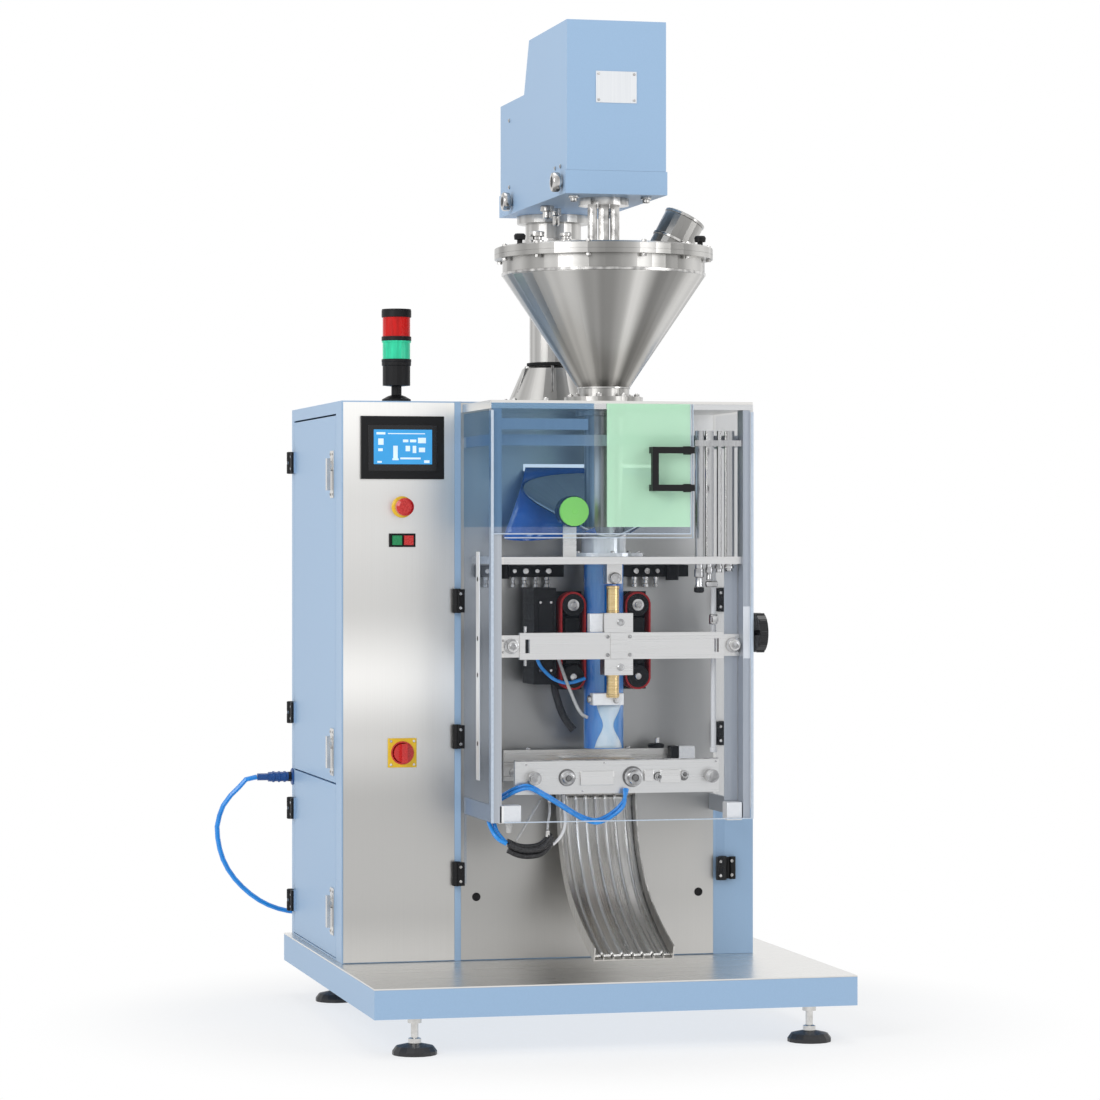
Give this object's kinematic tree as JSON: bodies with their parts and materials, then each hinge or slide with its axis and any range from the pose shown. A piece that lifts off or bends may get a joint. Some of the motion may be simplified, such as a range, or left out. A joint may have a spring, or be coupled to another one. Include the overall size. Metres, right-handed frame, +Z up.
{
  "type": "vertical form fill sealer",
  "caption": "Vertical form fill sealer: auger filler and hopper over a guarded forming tube, draw belts, sealing jaws and bag chute, on a control cabinet and levelled base.",
  "frame": {"origin": "on the floor, under the middle of the base", "axes": "+Z up, +Y from the operator's front towards the back, +X to the operator's right"},
  "size_m": [1.2326, 1.1943, 2.2209],
  "materials": {
    "blue_paint": "light blue powder coat, satin",
    "stainless": "brushed stainless steel",
    "machined_steel": "fine turned stainless steel",
    "aluminium": "anodised, satin",
    "acrylic": "clear and tinted acrylic sheet, polished edges",
    "black_plastic": "moulded, satin",
    "hmi": "black bezel with a lit blue screen",
    "red_plastic": "moulded, gloss",
    "green_plastic": "moulded, gloss",
    "lens_red": "ribbed translucent lens",
    "lens_green": "ribbed translucent lens",
    "lime_plastic": "moulded, satin",
    "rubber": "moulded foot with steel spindle",
    "belt": "black belt with a red face",
    "film": "blue packaging film",
    "brass": "turned, satin",
    "hose_blue": "polyurethane air hose",
    "cast_black": "black enamelled motor and gear housings"
  },
  "bodies": {
    "frame": {"base_tray": "blue_paint", "base_deck": "stainless", "foot_front_left": "rubber", "foot_front_right": "rubber", "foot_rear_left": "rubber", "foot_rear_right": "rubber", "cabinet_carcass": "blue_paint", "control_front_panel": "stainless", "machine_front_panel": "stainless", "hmi_panel": "hmi", "tower_stem": "black_plastic", "tower_lens_green": "lens_green", "tower_lens_red": "lens_red", "top_plate": "stainless", "left_post_frame": "aluminium", "right_post_frame": "aluminium", "forming_plate": "machined_steel", "forming_tube": "stainless", "film_sleeve": "film", "forming_shoulder": "stainless", "draw_belt_left": "belt", "draw_belt_right": "belt", "belt_housing_left": "cast_black", "belt_housing_right": "cast_black", "crossbar": "machined_steel", "jaw_guide_rods": "machined_steel", "discharge_chute": "stainless", "rod_rack": "machined_steel", "hopper": "stainless", "hopper_lid": "stainless", "auger_pillars": "machined_steel", "drive_head_tray": "blue_paint", "drive_head_cover": "blue_paint", "auger_motor": "cast_black", "head_column": "machined_steel", "air_inlet_socket": "machined_steel", "air_coupling": "hose_blue", "air_hose": "hose_blue"},
    "upper_door": {"side_door_upper": "blue_paint"},
    "lower_door": {"side_door_lower": "blue_paint"},
    "upper_latch": {"latch_upper": "machined_steel"},
    "middle_latch": {"latch_middle": "machined_steel"},
    "lower_latch": {"latch_lower": "machined_steel"},
    "estop": {"estop_button": "red_plastic"},
    "start": {"start_button": "green_plastic"},
    "stop": {"stop_button": "red_plastic"},
    "main_switch": {"main_switch_handle": "red_plastic"},
    "left_guard": {"left_guard_door": "acrylic", "guard_handle": "black_plastic"},
    "right_guard": {"right_guard_door": "acrylic"},
    "knob": {"clamp_knob": "black_plastic"},
    "guide_roller": {"film_guide_roller": "lime_plastic"},
    "left_pulley": {"belt_pulley_left": "black_plastic"},
    "right_pulley": {"belt_pulley_right": "black_plastic"},
    "sealer": {"seal_carriage": "aluminium", "seal_bar": "brass"},
    "front_jaw": {"jaw_front": "machined_steel"},
    "rear_jaw": {"jaw_rear": "machined_steel"},
    "auger": {"auger_screw": "machined_steel"},
    "reel": {"film_reel": "film"}
  },
  "joints": [
    {"name": "side_door_upper_hinge", "type": "hinge", "parent": "frame", "child": "upper_door", "pos_m": [-0.5233, 0.5285, 0.95], "axis": [0, 0, 1], "range_deg": [-110, 0]},
    {"name": "side_door_lower_hinge", "type": "hinge", "parent": "frame", "child": "lower_door", "pos_m": [-0.5233, 0.5285, 0.34], "axis": [0, 0, 1], "range_deg": [-88, 0]},
    {"name": "latch_upper_turn", "type": "hinge", "parent": "upper_door", "child": "upper_latch", "pos_m": [-0.515, 0.0105, 1.252], "axis": [1, 0, 0], "range_deg": [0, 90]},
    {"name": "latch_middle_turn", "type": "hinge", "parent": "upper_door", "child": "middle_latch", "pos_m": [-0.515, 0.0105, 0.628], "axis": [1, 0, 0], "range_deg": [0, 90]},
    {"name": "latch_lower_turn", "type": "hinge", "parent": "lower_door", "child": "lower_latch", "pos_m": [-0.515, 0.0105, 0.27], "axis": [1, 0, 0], "range_deg": [0, 90]},
    {"name": "estop_press", "type": "slide", "parent": "frame", "child": "estop", "axis": [0, 1, 0], "range_m": [0, 0.004]},
    {"name": "start_press", "type": "slide", "parent": "frame", "child": "start", "axis": [0, 1, 0], "range_m": [0, 0.003], "stiffness_N_per_m": 200, "springref_m": -0.001},
    {"name": "stop_press", "type": "slide", "parent": "frame", "child": "stop", "axis": [0, 1, 0], "range_m": [0, 0.003], "stiffness_N_per_m": 200, "springref_m": -0.001},
    {"name": "main_switch_turn", "type": "hinge", "parent": "frame", "child": "main_switch", "pos_m": [-0.379, -0.1075, 0.612], "axis": [0, 1, 0], "range_deg": [0, 90]},
    {"name": "left_guard_hinge", "type": "hinge", "parent": "frame", "child": "left_guard", "pos_m": [-0.257, -0.1175, 0.647], "axis": [0, 0, 1], "range_deg": [-65, 0]},
    {"name": "right_guard_hinge", "type": "hinge", "parent": "frame", "child": "right_guard", "pos_m": [0.36, -0.1175, 0.647], "axis": [0, 0, 1], "range_deg": [0, 90]},
    {"name": "clamp_knob_turn", "type": "hinge", "parent": "right_guard", "child": "knob", "pos_m": [0.3447, -0.3915, 0.882], "axis": [1, 0, 0], "range_deg": [-180, 180]},
    {"name": "guide_roller_spin", "type": "hinge", "parent": "frame", "child": "guide_roller", "pos_m": [-0.04515, -0.3115, 1.148], "axis": [0, 1, 0], "continuous": true},
    {"name": "belt_pulley_left_spin", "type": "hinge", "parent": "frame", "child": "left_pulley", "pos_m": [-0.02605, -0.2475, 0.942], "axis": [0, 1, 0], "continuous": true},
    {"name": "belt_pulley_right_spin", "type": "hinge", "parent": "frame", "child": "right_pulley", "pos_m": [0.12175, -0.2475, 0.942], "axis": [0, 1, 0], "continuous": true},
    {"name": "sealer_slide", "type": "slide", "parent": "frame", "child": "sealer", "axis": [0, 1, 0], "range_m": [0, 0.012]},
    {"name": "jaw_front_slide", "type": "slide", "parent": "frame", "child": "front_jaw", "axis": [0, 1, 0], "range_m": [0, 0.04]},
    {"name": "jaw_rear_slide", "type": "slide", "parent": "frame", "child": "rear_jaw", "axis": [0, 1, 0], "range_m": [-0.04, 0]},
    {"name": "auger_spin", "type": "hinge", "parent": "frame", "child": "auger", "pos_m": [0.04785, -0.2475, 0.665], "axis": [0, 0, 1], "continuous": true},
    {"name": "film_reel_spin", "type": "hinge", "parent": "frame", "child": "reel", "pos_m": [0.04785, 0.2925, 0.64], "axis": [1, 0, 0], "continuous": true}
  ],
  "couplings": [
    {"joint": "belt_pulley_right_spin", "follows": "belt_pulley_left_spin", "ratio": -1},
    {"joint": "jaw_rear_slide", "follows": "jaw_front_slide", "ratio": -1}
  ]
}
